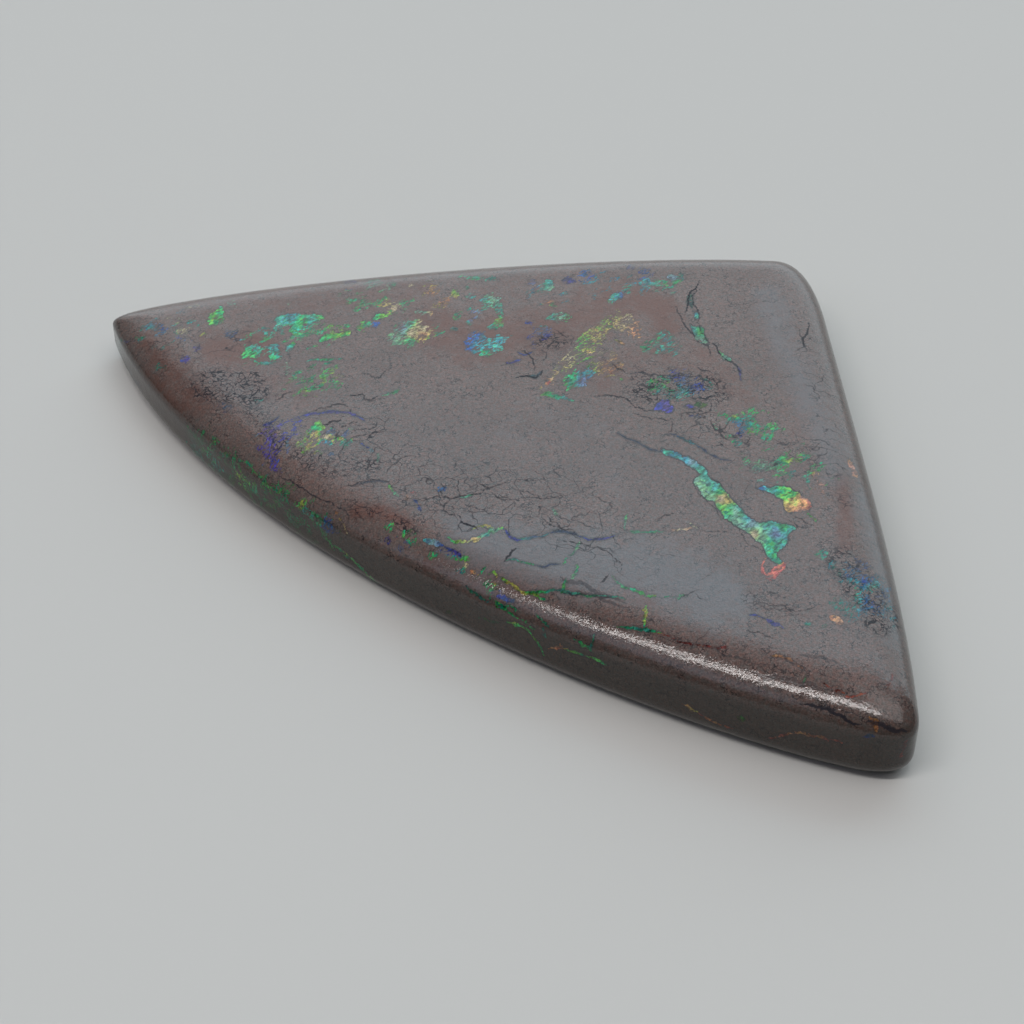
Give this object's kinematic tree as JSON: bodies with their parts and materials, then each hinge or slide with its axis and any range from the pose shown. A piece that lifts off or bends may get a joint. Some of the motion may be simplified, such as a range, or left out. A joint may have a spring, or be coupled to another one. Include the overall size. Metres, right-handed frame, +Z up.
{
  "type": "polished freeform boulder opal",
  "caption": "Polished freeform boulder opal: a thin, low-domed triangular stone of brown ironstone with opal veins and patches, rounded edges and a flat base.",
  "frame": {"origin": "centre of the bounding box at the flat base, so the stone lies on the plane z = 0", "axes": "+Z up through the thickness, from the flat base to the low crown; +X along the length, from the pointed left end to the wide right end; +Y towards the long, nearly straight back side"},
  "size_m": [0.0511, 0.0456, 0.0061],
  "materials": {
    "polished_boulder_opal": "polished brown ironstone with fine dark cracks and thin veins and patches of green, blue, yellow and orange opal"
  },
  "bodies": {
    "root": {"boulder_opal": "polished_boulder_opal"}
  },
  "joints": []
}
